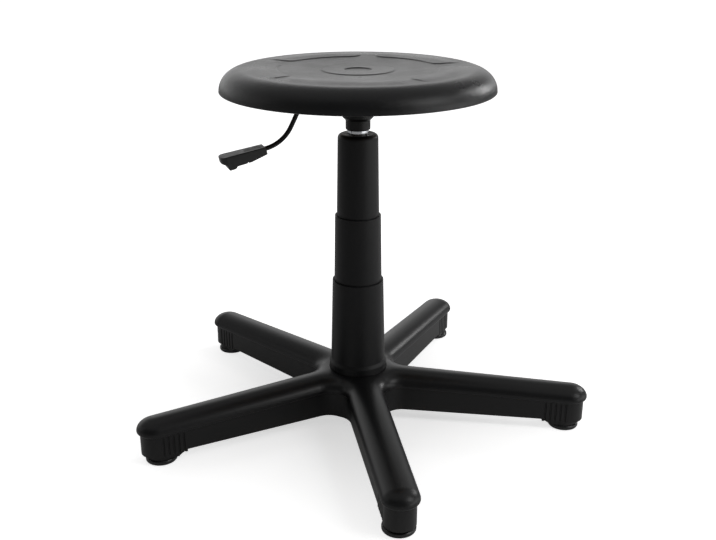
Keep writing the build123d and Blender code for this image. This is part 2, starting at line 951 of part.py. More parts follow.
with BuildPart() as cover_middle:
    with BuildSketch(Plane.XZ):
        Polygon(
            (middle_bottom_radius - cover_wall, middle_bottom),
            (middle_bottom_radius + cover_bead, middle_bottom),
            (middle_bottom_radius + cover_bead, middle_bottom + cover_bead_height),
            (middle_bottom_radius, middle_bottom + cover_bead_height + cover_bead),
            (middle_top_radius, middle_top),
            (upper_bottom_radius + nest_gap, middle_top),
            (upper_bottom_radius + nest_gap, middle_top - cover_lip_height),
            (middle_top_radius - cover_wall, middle_top - cover_lip_height),
            align=None,
        )
    revolve()
cover_middle.part.label = "cover_middle"
export_step(cover_middle.part, "parts/cover_middle.step")

cover_hole = cylinder_radius + 2 * running_fit
with BuildPart() as cover_upper:
    with BuildSketch(Plane.XZ) as upper_profile:
        Polygon(
            (upper_bottom_radius - cover_wall, upper_bottom),
            (upper_bottom_radius + cover_bead, upper_bottom),
            (upper_bottom_radius + cover_bead, upper_bottom + cover_bead_height),
            (upper_bottom_radius, upper_bottom + cover_bead_height + cover_bead),
            (upper_top_radius, upper_top),
            (cover_hole, upper_top),
            (cover_hole, upper_top - cover_wall),
            (upper_top_radius - cover_wall, upper_top - cover_wall),
            align=None,
        )
        shoulder = upper_profile.vertices().group_by(Axis.Y)
        fillet(shoulder[-1].sort_by(Axis.X)[-1], upper_crown_radius)
        fillet(
            upper_profile.vertices().sort_by_distance(
                (upper_top_radius - cover_wall, upper_top - cover_wall)
            )[0],
            upper_crown_radius - cover_wall,
        )
    revolve()
    with BuildSketch(Plane.XY.offset(upper_top - cover_wall - overrun)):
        with PolarLocations(cover_hole, upper_slot_count):
            Rectangle(2 * upper_slot_length, upper_slot_width)
    extrude(amount=cover_wall + 2 * overrun, mode=Mode.SUBTRACT)
cover_upper.part.label = "cover_upper"
export_step(cover_upper.part, "parts/cover_upper.step")

# Socket that jams on the cylinder's taper, with a collar welded under the housing
socket_radius = cylinder_radius + socket_wall
with BuildPart() as taper_socket:
    with BuildSketch(Plane.XZ):
        Polygon(
            (cylinder_radius_at(socket_bottom) + press_gap, socket_bottom),
            (socket_radius - socket_chamfer, socket_bottom),
            (socket_radius, socket_bottom + socket_chamfer),
            (socket_radius, socket_bottom + socket_neck),
            (socket_radius + socket_cone_flare, socket_collar_low),
            (socket_radius + socket_cone_flare, housing_bottom),
            (socket_radius, housing_bottom),
            (socket_radius, socket_top),
            (cylinder_radius_at(socket_top) + press_gap, socket_top),
            align=None,
        )
    revolve()
taper_socket.part.label = "taper_socket"
export_step(taper_socket.part, "parts/taper_socket.step")

# Lever line, drawn in the lever's upright plane
rod_level = pin_top + lever_play + lever_rod_radius
pivot_level = rod_level - lever_pivot_drop
grip_angle = math.radians(lever_grip_slope)
lever_points = [
    (-lever_tail, rod_level),
    (lever_knee_reach, rod_level),
    (lever_slope_reach, rod_level - lever_slope_drop),
    (lever_foot_reach, rod_level - lever_foot_drop),
    (
        lever_foot_reach + (grip_start + grip_rod_depth) * math.cos(grip_angle),
        rod_level - lever_foot_drop - (grip_start + grip_rod_depth) * math.sin(grip_angle),
    ),
]

# Pressed housing: a rounded pan with a flange, slotted in front for the lever
with BuildPart() as mechanism_housing:
    housing_length = housing_front + housing_back
    housing_middle = (housing_front - housing_back) / 2
    with BuildSketch(seat_plane(housing_bottom)):
        with Locations((housing_middle, 0)):
            RectangleRounded(housing_length, 2 * housing_half_width, housing_corner)
    extrude(amount=housing_height)
    with BuildSketch(seat_plane(plate_bottom - housing_wall)):
        with Locations((housing_middle, 0)):
            RectangleRounded(
                housing_length + 2 * housing_flange,
                2 * (housing_half_width + housing_flange),
                housing_corner + housing_flange,
            )
    extrude(amount=housing_wall)
    with BuildSketch(seat_plane(housing_bottom + housing_wall)):
        with Locations((housing_middle, 0)):
            RectangleRounded(
                housing_length - 2 * housing_wall,
                2 * (housing_half_width - housing_wall),
                housing_corner - housing_wall,
            )
    extrude(amount=housing_height, mode=Mode.SUBTRACT)
    with BuildSketch(seat_plane(housing_bottom - overrun)):
        Circle(socket_radius + press_gap)
    extrude(amount=housing_wall + 2 * overrun, mode=Mode.SUBTRACT)
    with BuildSketch(lever_plane):
        with Locations((lever_pivot_reach, pivot_level)):
            Circle(pivot_radius + press_gap)
    extrude(amount=housing_half_width + overrun, both=True, mode=Mode.SUBTRACT)
    slot_half = lever_rod_radius + slot_play
    slot_low = pivot_level - lever_rod_radius
    with BuildSketch(seat_plane(slot_low)):
        with Locations((housing_front, 0)):
            Rectangle(4 * housing_flange, 2 * slot_half)
    extrude(amount=plate_bottom - slot_low + overrun, mode=Mode.SUBTRACT)
mechanism_housing.part.label = "mechanism_housing"
export_step(mechanism_housing.part, "parts/mechanism_housing.step")

# Mounting plate with a hole in each corner and a pressed bead towards each of them
with BuildPart() as mounting_plate:
    with BuildSketch(seat_plane(plate_bottom)):
        RectangleRounded(plate_side, plate_side, plate_corner)
        with GridLocations(plate_bolt_spacing, plate_bolt_spacing, 2, 2):
            Circle(bolt_radius + bolt_hole_play, mode=Mode.SUBTRACT)
    extrude(amount=plate_thickness)
    bead_start = (housing_half_width + housing_flange) * math.sqrt(2) + plate_bead_gap
    bead_end = plate_bolt_spacing / math.sqrt(2) - washer_radius - plate_bead_gap
    with BuildSketch(seat_plane(plate_bottom)):
        bead_middle = (bead_start + bead_end) / 2
        with PolarLocations(bead_middle, plate_bolt_count, start_angle=first_bolt_turn):
            SlotOverall(bead_end - bead_start, plate_bead_width)
    extrude(amount=-plate_bead_depth, taper=plate_bead_slope)
mounting_plate.part.label = "mounting_plate"
export_step(mounting_plate.part, "parts/mounting_plate.step")

# Pivot pin through the housing, with a head at each end
with BuildPart() as pivot_pin:
    with BuildSketch(lever_plane):
        with Locations((lever_pivot_reach, pivot_level)):
            Circle(pivot_radius)
    extrude(amount=housing_half_width, both=True)
    for side in (1, -1):
        with BuildSketch(lever_plane.offset(side * housing_half_width)):
            with Locations((lever_pivot_reach, pivot_level)):
                Circle(pivot_head_radius)
        extrude(amount=side * pivot_head_thickness)
pivot_pin.part.label = "pivot_pin"
export_step(pivot_pin.part, "parts/pivot_pin.step")

# Seat board of plywood, drilled for four tee nuts
tee_flange_low = board_top
tee_barrel_low = board_top - tee_barrel_length
with BuildPart() as seat_board:
    with BuildSketch(seat_plane(plate_top)):
        Circle(board_radius)
        with GridLocations(plate_bolt_spacing, plate_bolt_spacing, 2, 2):
            Circle(tee_barrel_radius + press_gap, mode=Mode.SUBTRACT)
    extrude(amount=board_thickness)
seat_board.part.label = "seat_board"
export_step(seat_board.part, "parts/seat_board.step")

with BuildPart() as tee_nuts:
    with BuildSketch(seat_plane(tee_barrel_low)):
        with GridLocations(plate_bolt_spacing, plate_bolt_spacing, 2, 2):
            Circle(tee_barrel_radius)
            Circle(bolt_radius + running_fit, mode=Mode.SUBTRACT)
    extrude(amount=tee_barrel_length)
    with BuildSketch(seat_plane(tee_flange_low)):
        with GridLocations(plate_bolt_spacing, plate_bolt_spacing, 2, 2):
            Circle(tee_flange_radius)
            Circle(bolt_radius + running_fit, mode=Mode.SUBTRACT)
    extrude(amount=tee_flange_thickness)
tee_nuts.part.label = "tee_nuts"
export_step(tee_nuts.part, "parts/tee_nuts.step")

with BuildPart() as mounting_washers:
    with BuildSketch(seat_plane(plate_bottom - washer_thickness)):
        with GridLocations(plate_bolt_spacing, plate_bolt_spacing, 2, 2):
            Circle(washer_radius)
            Circle(bolt_radius + running_fit, mode=Mode.SUBTRACT)
    extrude(amount=washer_thickness)
mounting_washers.part.label = "mounting_washers"
export_step(mounting_washers.part, "parts/mounting_washers.step")

bolt_head_low = plate_bottom - washer_thickness - bolt_head_height
with BuildPart() as mounting_bolts:
    with BuildSketch(seat_plane(bolt_head_low)):
        with GridLocations(plate_bolt_spacing, plate_bolt_spacing, 2, 2):
            RegularPolygon(bolt_head_across / 2, side_count=6, major_radius=False)
    extrude(amount=bolt_head_height)
    with BuildSketch(seat_plane(plate_bottom - washer_thickness)):
        with GridLocations(plate_bolt_spacing, plate_bolt_spacing, 2, 2):
            Circle(bolt_radius)
    extrude(amount=bolt_length)
mounting_bolts.part.label = "mounting_bolts"
export_step(mounting_bolts.part, "parts/mounting_bolts.step")

# Seat: a dished mushroom of skinned foam, with raised pads round its rim
pad_low = seat_rim - dish_depth
with BuildPart() as seat_pads:
    with BuildSketch(Plane.XY.offset(pad_low)) as pad_outlines:
        for number in range(pad_count):
            start = first_pad_turn + number * full_turn / pad_count - pad_half_angle
            with BuildLine():
                inner = CenterArc((0, 0), pad_inner_radius, start, 2 * pad_half_angle)
                outer = CenterArc((0, 0), pad_outer_radius, start, 2 * pad_half_angle)
                Line(inner @ 0, outer @ 0)
                Line(inner @ 1, outer @ 1)
            make_face()
        fillet(pad_outlines.vertices(), pad_corner)
    extrude(amount=seat_rim + pad_rise - pad_low)
    fillet(seat_pads.edges().group_by(Axis.Z)[-1], pad_edge)

dish_level = seat_rim - dish_depth
with BuildPart() as seat_button:
    with BuildSketch(Plane.XY.offset(dish_level - button_recess_depth)):
        Circle(button_radius)
    extrude(amount=button_recess_depth + button_rise)
    with BuildSketch(Plane.XY.offset(dish_level + button_rise - button_recess_depth)):
        Circle(button_recess_radius)
    extrude(amount=button_recess_depth, mode=Mode.SUBTRACT)
    fillet(seat_button.edges().group_by(Axis.Z)[-1], button_edge)

with BuildPart() as seat_shell:
    with BuildSketch(Plane.XZ) as seat_profile:
        with BuildLine():
            dish = ThreePointArc(
                (0, dish_level),
                (dish_radius / 2, dish_level + dish_depth / 4),
                (dish_radius, seat_rim),
            )
            widest_level = seat_rim - seat_edge_height
            Line(dish @ 1, (seat_radius - seat_edge_width, seat_rim))
            EllipticalCenterArc(
                (seat_radius - seat_edge_width, widest_level),
                seat_edge_width,
                seat_edge_height,
                0,
                arc_size=quarter_turn,
            )
            Polyline(
                (seat_radius, widest_level),
                (seat_radius, plate_top + seat_edge_rise),
                (seat_flat_radius, plate_top),
                (0, plate_top),
                dish @ 0,
            )
        make_face()
        fillet(
            seat_profile.vertices().sort_by_distance((seat_radius, plate_top + seat_edge_rise))[0],
            seat_bottom_corner,
        )
    revolve()
    with BuildSketch(Plane.XY.offset(dish_level - button_recess_depth)):
        Circle(button_radius - button_edge)
    extrude(amount=button_recess_depth + dish_depth, mode=Mode.SUBTRACT)
    add(seat_button.part)
    add(seat_pads.part)
    with BuildSketch(seat_plane(plate_top)):
        Circle(board_radius + rest_gap)
    extrude(amount=board_thickness + press_gap, mode=Mode.SUBTRACT)
    with BuildSketch(seat_plane(plate_top)):
        with GridLocations(plate_bolt_spacing, plate_bolt_spacing, 2, 2):
            Circle(tee_flange_radius + rest_gap)
    extrude(amount=board_thickness + tee_flange_thickness + rest_gap, mode=Mode.SUBTRACT)
seat_shell.part.label = "seat_shell"
export_step(seat_shell.part, "parts/seat_shell.step")

# Release lever: one bent rod welded to a sleeve that turns on the pivot pin
with BuildPart() as lever_rod:
    with BuildLine(lever_plane) as lever_path:
        FilletPolyline(
            lever_points, radius=[lever_knee_radius, lever_shoulder_radius, lever_foot_radius]
        )
    with BuildSketch(Plane(origin=lever_path.line @ 0, z_dir=lever_path.line % 0)):
        Circle(lever_rod_radius)
    sweep()
    with BuildSketch(lever_plane):
        with Locations((lever_pivot_reach, pivot_level)):
            Circle(sleeve_radius)
    extrude(amount=housing_half_width - housing_wall - sleeve_side_gap, both=True)
    with BuildSketch(lever_plane):
        with Locations((lever_pivot_reach, pivot_level)):
            Circle(pivot_radius + running_fit)
    extrude(amount=housing_half_width, both=True, mode=Mode.SUBTRACT)
lever_rod.part.label = "lever_rod"
export_step(lever_rod.part, "parts/lever_rod.step")

# Moulded grip, pushed on the rod's end: a thumb paddle with a finger nub below
grip_origin = lever_plane.from_local_coords(
    (
        lever_foot_reach + grip_start * math.cos(grip_angle),
        rod_level - lever_foot_drop - grip_start * math.sin(grip_angle),
        0,
    )
)
grip_along = (
    lever_x * math.cos(grip_angle),
    lever_y * math.cos(grip_angle),
    -math.sin(grip_angle),
)
grip_side = Plane(origin=grip_origin, x_dir=grip_along, z_dir=lever_plane.z_dir)
grip_top = Plane(origin=grip_origin, x_dir=grip_along, z_dir=grip_side.y_dir)

with BuildPart() as lever_grip:
    with BuildSketch(grip_side) as grip_profile:
        Polygon(
            (0, grip_above_root),
            (grip_length, grip_above_tip),
            (grip_length, -grip_below_tip),
            (grip_nub_to + grip_nub_slope / 2, -grip_belly_depth / 2),
            (grip_nub_to, -grip_nub_depth),
            (grip_nub_from + grip_nub_slope, -grip_nub_depth),
            (grip_nub_from, -grip_belly_depth),
            (grip_belly_at, -grip_belly_depth),
            (0, -grip_below_root),
            align=None,
        )
        fillet(grip_profile.vertices().group_by(Axis.Y)[0], grip_nub_radius)
    extrude(amount=grip_half_width_tip, both=True)
    with BuildSketch(grip_top) as grip_outline:
        Polygon(
            (0, -grip_half_width_root),
            (grip_length, -grip_half_width_tip),
            (grip_length, grip_half_width_tip),
            (0, grip_half_width_root),
            align=None,
        )
        ends = grip_outline.vertices().group_by(Axis.X)
        fillet(ends[-1], grip_corner)
        fillet(ends[0], grip_root_corner)
    extrude(amount=2 * grip_nub_depth, both=True, mode=Mode.INTERSECT)
    grip_back = lever_grip.faces().sort_by(Axis(grip_origin, grip_side.y_dir))[-1]
    fillet(grip_back.edges(), grip_edge)
    with BuildSketch(grip_side):
        with Locations((grip_notch_at, -grip_belly_depth)):
            Rectangle(grip_notch_width, 2 * grip_notch_depth)
    extrude(amount=2 * grip_half_width_tip, both=True, mode=Mode.SUBTRACT)
    with BuildSketch(grip_top.offset(grip_above_root)):
        with Locations(((grip_groove_start + grip_groove_end) / 2, 0)):
            with GridLocations(0, grip_groove_pitch, 1, grip_groove_count):
                SlotOverall(grip_groove_end - grip_groove_start, grip_groove_width)
    extrude(amount=grip_above_tip, mode=Mode.SUBTRACT)
    with BuildSketch(Plane(origin=grip_origin, z_dir=grip_along)):
        Circle(lever_rod_radius + press_gap)
    extrude(amount=grip_rod_depth + rest_gap, mode=Mode.SUBTRACT)
lever_grip.part.label = "lever_grip"
export_step(lever_grip.part, "parts/lever_grip.step")
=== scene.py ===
import math

import bpy
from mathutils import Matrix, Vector


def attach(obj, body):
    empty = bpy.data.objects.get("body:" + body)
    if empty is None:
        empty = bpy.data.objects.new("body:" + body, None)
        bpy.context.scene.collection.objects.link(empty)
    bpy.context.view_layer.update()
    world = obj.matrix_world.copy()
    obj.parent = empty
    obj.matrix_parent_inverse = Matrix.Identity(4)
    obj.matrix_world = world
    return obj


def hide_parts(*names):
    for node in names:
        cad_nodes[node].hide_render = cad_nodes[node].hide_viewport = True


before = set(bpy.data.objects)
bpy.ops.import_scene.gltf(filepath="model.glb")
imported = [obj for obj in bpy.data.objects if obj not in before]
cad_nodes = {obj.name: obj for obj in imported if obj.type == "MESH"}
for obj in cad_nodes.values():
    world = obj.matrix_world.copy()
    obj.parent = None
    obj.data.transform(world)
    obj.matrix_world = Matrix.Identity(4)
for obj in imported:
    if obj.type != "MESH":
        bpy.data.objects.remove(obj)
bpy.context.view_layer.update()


# Base: one injection moulding in glass-filled nylon, with five hollow, lipped arms round
# a hub. The spark-eroded mould leaves a fine, even, satin grain, shoes polish and scratch
# the backs of the arms, and floor dust stays on the lower walls.
def millimetres(value):
    return value / 1000.0


def texture_scale(size_mm):
    """Scale of a texture whose features are that large, because coordinates are metres."""
    return 1000.0 / size_mm


def colour(hex_code):
    """Linear colour of an sRGB hex code."""
    channels = [int(hex_code[start:start + 2], 16) / 255.0 for start in (0, 2, 4)]
    linear = [c / 12.92 if c <= 0.04045 else ((c + 0.055) / 1.055) ** 2.4 for c in channels]
    return (*linear, 1.0)


def add_node(material, kind, values=None, links=None, **settings):
    """Adds a node, with its settings, its plain input values and its incoming links."""
    node = material.node_tree.nodes.new(kind)
    for name, value in settings.items():
        setattr(node, name, value)
    for name, value in (values or {}).items():
        node.inputs[name].default_value = value
    for name, socket in (links or {}).items():
        material.node_tree.links.new(socket, node.inputs[name])
    return node


def new_material(name):
    """An empty material and its object coordinates."""
    material = bpy.data.materials.new(name)
    material.use_nodes = True
    material.node_tree.nodes.clear()
    place = add_node(material, "ShaderNodeTexCoord").outputs["Object"]
    return material, place


def close_material(material, values, links):
    """The surface shader and the output, which end every material of the stool."""
    surface = add_node(material, "ShaderNodeBsdfPrincipled", values, links)
    add_node(material, "ShaderNodeOutputMaterial", None, {"Surface": surface.outputs[0]})


def coat(material, *names):
    """Gives CAD nodes a finish in place of their plain one."""
    for name in names:
        for slot in cad_nodes[name].material_slots:
            slot.material = material


# Glass-filled nylon, moulded: near black and satin. The eroded grain is drawn at 0.7 mm,
# about twice as coarse as the real one, so that it shows.
nylon, place = new_material("glass_filled_nylon_moulded")
grain = add_node(nylon, "ShaderNodeTexNoise", {"Scale": texture_scale(0.7), "Detail": 4.0},
                 {"Vector": place})
scuff_place = add_node(nylon, "ShaderNodeMapping", {"Scale": (1.0, 1.0, 0.15)},
                       {"Vector": place})
scuffs = add_node(nylon, "ShaderNodeTexNoise",
                  {"Scale": texture_scale(2.4), "Detail": 6.0, "Roughness": 0.7,
                   "Distortion": 1.6}, {"Vector": scuff_place.outputs[0]})
patches = add_node(nylon, "ShaderNodeTexNoise", {"Scale": texture_scale(70.0), "Detail": 4.0},
                   {"Vector": place})
height = add_node(nylon, "ShaderNodeSeparateXYZ", None, {"Vector": place})
# Shoes rub the arms' backs, from 52 mm up, and dust lies on their walls, below 34 mm
shoe_zone = add_node(nylon, "ShaderNodeMapRange",
                     {"From Min": millimetres(52.0), "From Max": millimetres(66.0)},
                     {"Value": height.outputs["Z"]})
worn = add_node(nylon, "ShaderNodeMath", None,
                {0: shoe_zone.outputs[0], 1: patches.outputs["Fac"]}, operation="MULTIPLY")
dust = add_node(nylon, "ShaderNodeMapRange",
                {"From Min": millimetres(34.0), "From Max": millimetres(6.0), "To Max": 0.32},
                {"Value": height.outputs["Z"]})
dust_spots = add_node(nylon, "ShaderNodeMath", None,
                      {0: dust.outputs[0], 1: scuffs.outputs["Fac"]}, operation="MULTIPLY")
nylon_shades = add_node(nylon, "ShaderNodeMix", {"A": colour("0c0c0d"), "B": colour("131314")},
                        {"Factor": patches.outputs["Fac"]}, data_type="RGBA")
dusted = add_node(nylon, "ShaderNodeMix", {"B": colour("3a3936")},
                  {"Factor": dust_spots.outputs[0], "A": nylon_shades.outputs["Result"]},
                  data_type="RGBA")
nylon_gloss = add_node(nylon, "ShaderNodeMapRange", {"To Min": 0.38, "To Max": 0.3},
                       {"Value": worn.outputs[0]})
scratch_gloss = add_node(nylon, "ShaderNodeMath", {1: 0.12, 2: -0.06},
                         {0: scuffs.outputs["Fac"]}, operation="MULTIPLY_ADD")
nylon_roughness = add_node(nylon, "ShaderNodeMath", None,
                           {0: nylon_gloss.outputs[0], 1: scratch_gloss.outputs[0]},
                           operation="ADD")
grain_bump = add_node(nylon, "ShaderNodeBump",
                      {"Strength": 0.22, "Distance": millimetres(0.15)},
                      {"Height": grain.outputs["Fac"]})
scuff_bump = add_node(nylon, "ShaderNodeBump",
                      {"Strength": 0.08, "Distance": millimetres(0.1)},
                      {"Height": scuffs.outputs["Fac"], "Normal": grain_bump.outputs[0]})
close_material(nylon, {"IOR": 1.53, "Specular IOR Level": 0.3},
               {"Base Color": dusted.outputs["Result"], "Roughness": nylon_roughness.outputs[0],
                "Normal": scuff_bump.outputs[0]})
coat(nylon, "base_star")


# Glides: round feet of unfilled nylon with turned edges, on zinc-plated steel stems that
# split rings hold in the arms. They slide on the floor, so fine scratches cross the polish.
glide_nylon, place = new_material("nylon_polished")
drag_place = add_node(glide_nylon, "ShaderNodeMapping", {"Scale": (1.0, 0.12, 1.0)},
                      {"Vector": place})
drag_marks = add_node(glide_nylon, "ShaderNodeTexNoise",
                      {"Scale": texture_scale(0.8), "Detail": 5.0},
                      {"Vector": drag_place.outputs[0]})
glide_gloss = add_node(glide_nylon, "ShaderNodeMapRange", {"To Min": 0.14, "To Max": 0.4},
                       {"Value": drag_marks.outputs["Fac"]})
glide_bump = add_node(glide_nylon, "ShaderNodeBump",
                      {"Strength": 0.06, "Distance": millimetres(0.08)},
                      {"Height": drag_marks.outputs["Fac"]})
glide_shades = add_node(glide_nylon, "ShaderNodeMix",
                        {"A": colour("0b0c0d"), "B": colour("141516")},
                        {"Factor": drag_marks.outputs["Fac"]}, data_type="RGBA")
close_material(glide_nylon, {"IOR": 1.53},
               {"Base Color": glide_shades.outputs["Result"],
                "Roughness": glide_gloss.outputs[0], "Normal": glide_bump.outputs[0]})

# Zinc-plated steel: bright, slightly blue, with a faint spangle from the bath
zinc, place = new_material("zinc_plated_steel")
spangle = add_node(zinc, "ShaderNodeTexVoronoi", {"Scale": texture_scale(1.8)},
                   {"Vector": place})
zinc_shades = add_node(zinc, "ShaderNodeMix", {"A": colour("b4b8bc"), "B": colour("cdd0d2")},
                       {"Factor": spangle.outputs["Distance"]}, data_type="RGBA")
zinc_gloss = add_node(zinc, "ShaderNodeMapRange", {"To Min": 0.24, "To Max": 0.42},
                      {"Value": spangle.outputs["Distance"]})
zinc_bump = add_node(zinc, "ShaderNodeBump", {"Strength": 0.05, "Distance": millimetres(0.05)},
                     {"Height": spangle.outputs["Distance"]})
close_material(zinc, {"Metallic": 1.0},
               {"Base Color": zinc_shades.outputs["Result"], "Roughness": zinc_gloss.outputs[0],
                "Normal": zinc_bump.outputs[0]})

# Blued spring steel: a dark blue-grey oxide that turns browner in places
spring_steel, place = new_material("spring_steel_blued")
oxide = add_node(spring_steel, "ShaderNodeTexNoise",
                 {"Scale": texture_scale(2.0), "Detail": 4.0}, {"Vector": place})
oxide_shades = add_node(spring_steel, "ShaderNodeMix",
                        {"A": colour("2f333b"), "B": colour("4b4a4e")},
                        {"Factor": oxide.outputs["Fac"]}, data_type="RGBA")
oxide_gloss = add_node(spring_steel, "ShaderNodeMapRange", {"To Min": 0.3, "To Max": 0.5},
                       {"Value": oxide.outputs["Fac"]})
close_material(spring_steel, {"Metallic": 1.0},
               {"Base Color": oxide_shades.outputs["Result"],
                "Roughness": oxide_gloss.outputs[0]})

for number in range(1, 6):
    coat(glide_nylon, f"glide_foot_{number}")
    coat(zinc, f"glide_stem_{number}")
coat(zinc, "hub_ring")
coat(spring_steel, "stem_grip_rings")


# Column: a black powder-coated steel tube, jammed by its taper in the hub, with an acetal
# bush in its mouth. A thrust bearing, a rubber stop and a clip sit at the foot of the rod.
# Black powder coat on steel: a smooth, slightly rippled film with its peel 1.6 mm wide.
powder, place = new_material("powder_coated_steel")
peel = add_node(powder, "ShaderNodeTexNoise", {"Scale": texture_scale(1.6), "Detail": 2.0},
                {"Vector": place})
specks = add_node(powder, "ShaderNodeTexNoise", {"Scale": texture_scale(0.4), "Detail": 2.0},
                  {"Vector": place})
handling = add_node(powder, "ShaderNodeTexNoise", {"Scale": texture_scale(24.0), "Detail": 5.0},
                    {"Vector": place})
powder_shades = add_node(powder, "ShaderNodeMix",
                         {"A": colour("080808"), "B": colour("0e0e0e")},
                         {"Factor": handling.outputs["Fac"]}, data_type="RGBA")
powder_gloss = add_node(powder, "ShaderNodeMapRange",
                        {"From Min": 0.3, "From Max": 0.7, "To Min": 0.32, "To Max": 0.44},
                        {"Value": handling.outputs["Fac"]})
peel_bump = add_node(powder, "ShaderNodeBump", {"Strength": 0.14, "Distance": millimetres(0.2)},
                     {"Height": peel.outputs["Fac"]})
speck_bump = add_node(powder, "ShaderNodeBump",
                      {"Strength": 0.06, "Distance": millimetres(0.06)},
                      {"Height": specks.outputs["Fac"], "Normal": peel_bump.outputs[0]})
close_material(powder, {"IOR": 1.5, "Specular IOR Level": 0.25},
               {"Base Color": powder_shades.outputs["Result"],
                "Roughness": powder_gloss.outputs[0], "Normal": speck_bump.outputs[0]})

# Natural acetal: milky white, waxy and a little translucent, with turning marks 0.5 mm
# apart
acetal, place = new_material("acetal_turned")
turning = add_node(acetal, "ShaderNodeTexWave",
                   {"Scale": texture_scale(0.5) / (2.0 * math.pi), "Distortion": 0.6},
                   {"Vector": place}, wave_type="BANDS", bands_direction="Z")
acetal_cloud = add_node(acetal, "ShaderNodeTexNoise", {"Scale": texture_scale(9.0)},
                        {"Vector": place})
acetal_shades = add_node(acetal, "ShaderNodeMix",
                         {"A": colour("dddbd2"), "B": colour("ebe9e2")},
                         {"Factor": acetal_cloud.outputs["Fac"]}, data_type="RGBA")
acetal_bump = add_node(acetal, "ShaderNodeBump",
                       {"Strength": 0.1, "Distance": millimetres(0.05)},
                       {"Height": turning.outputs["Fac"]})
close_material(acetal, {"IOR": 1.48, "Roughness": 0.36, "Subsurface Weight": 0.08,
                        "Subsurface Scale": millimetres(3.0)},
               {"Base Color": acetal_shades.outputs["Result"],
                "Normal": acetal_bump.outputs[0]})

# Ground steel: a bright surface with the fine rings that the grinding wheel leaves
ground_steel, place = new_material("steel_ground")
ring_place = add_node(ground_steel, "ShaderNodeMapping", {"Scale": (0.03, 0.03, 1.0)},
                      {"Vector": place})
rings = add_node(ground_steel, "ShaderNodeTexNoise",
                 {"Scale": texture_scale(0.25), "Detail": 3.0},
                 {"Vector": ring_place.outputs[0]})
ground_shades = add_node(ground_steel, "ShaderNodeMix",
                         {"A": colour("a9adb2"), "B": colour("c4c7ca")},
                         {"Factor": rings.outputs["Fac"]}, data_type="RGBA")
ground_gloss = add_node(ground_steel, "ShaderNodeMapRange", {"To Min": 0.12, "To Max": 0.3},
                        {"Value": rings.outputs["Fac"]})
close_material(ground_steel, {"Metallic": 1.0},
               {"Base Color": ground_shades.outputs["Result"],
                "Roughness": ground_gloss.outputs[0]})

# Nitrile rubber: matt black with a dusting of talc from the mould
rubber, place = new_material("nitrile_rubber_moulded")
talc = add_node(rubber, "ShaderNodeTexNoise", {"Scale": texture_scale(1.4), "Detail": 6.0},
                {"Vector": place})
talc_amount = add_node(rubber, "ShaderNodeMapRange",
                       {"From Min": 0.52, "From Max": 0.75, "To Max": 0.35},
                       {"Value": talc.outputs["Fac"]})
rubber_shades = add_node(rubber, "ShaderNodeMix",
                         {"A": colour("1a1a1b"), "B": colour("4c4b49")},
                         {"Factor": talc_amount.outputs[0]}, data_type="RGBA")
rubber_bump = add_node(rubber, "ShaderNodeBump",
                       {"Strength": 0.15, "Distance": millimetres(0.1)},
                       {"Height": talc.outputs["Fac"]})
close_material(rubber, {"IOR": 1.52, "Roughness": 0.72},
               {"Base Color": rubber_shades.outputs["Result"],
                "Normal": rubber_bump.outputs[0]})

coat(powder, "column_tube")
coat(acetal, "guide_bush", "bearing_cage")
coat(ground_steel, "bearing_lower_race", "bearing_balls", "bearing_upper_race")
coat(rubber, "bump_stop")
coat(zinc, "clip_washer")
coat(spring_steel, "rod_clip")


# Gas spring: a hard-chromed cylinder that slides in the bush, on a ground rod with an
# aluminium piston. The valve and its release pin sit in the cylinder's head.
# Hard chrome over a ground tube: a bright, cool mirror, dulled by fine rings 0.3 mm apart.
chrome, place = new_material("hard_chrome_ground")
chrome_place = add_node(chrome, "ShaderNodeMapping", {"Scale": (0.02, 0.02, 1.0)},
                        {"Vector": place})
chrome_rings = add_node(chrome, "ShaderNodeTexNoise",
                        {"Scale": texture_scale(0.3), "Detail": 2.0},
                        {"Vector": chrome_place.outputs[0]})
oil_film = add_node(chrome, "ShaderNodeTexNoise", {"Scale": texture_scale(12.0), "Detail": 4.0},
                    {"Vector": place})
chrome_shades = add_node(chrome, "ShaderNodeMix",
                         {"A": colour("c3c6ca"), "B": colour("d3d5d7")},
                         {"Factor": oil_film.outputs["Fac"]}, data_type="RGBA")
chrome_gloss = add_node(chrome, "ShaderNodeMapRange", {"To Min": 0.04, "To Max": 0.16},
                        {"Value": chrome_rings.outputs["Fac"]})
close_material(chrome, {"Metallic": 1.0},
               {"Base Color": chrome_shades.outputs["Result"],
                "Roughness": chrome_gloss.outputs[0]})

# Turned aluminium: pale, with the tool's rings 0.4 mm apart
aluminium, place = new_material("aluminium_turned")
tool_rings = add_node(aluminium, "ShaderNodeTexWave",
                      {"Scale": texture_scale(0.4) / (2.0 * math.pi), "Distortion": 0.4},
                      {"Vector": place}, wave_type="BANDS", bands_direction="Z")
tool_shades = add_node(aluminium, "ShaderNodeMix",
                       {"A": colour("c2c4c6"), "B": colour("d8d9da")},
                       {"Factor": tool_rings.outputs["Fac"]}, data_type="RGBA")
tool_bump = add_node(aluminium, "ShaderNodeBump",
                     {"Strength": 0.15, "Distance": millimetres(0.03)},
                     {"Height": tool_rings.outputs["Fac"]})
close_material(aluminium, {"Metallic": 1.0, "Roughness": 0.28},
               {"Base Color": tool_shades.outputs["Result"], "Normal": tool_bump.outputs[0]})

coat(chrome, "gas_cylinder")
coat(ground_steel, "piston_rod", "release_pin")
coat(aluminium, "piston", "valve_body")
coat(rubber, "piston_ring", "rod_seal")
coat(acetal, "cylinder_end_guide")


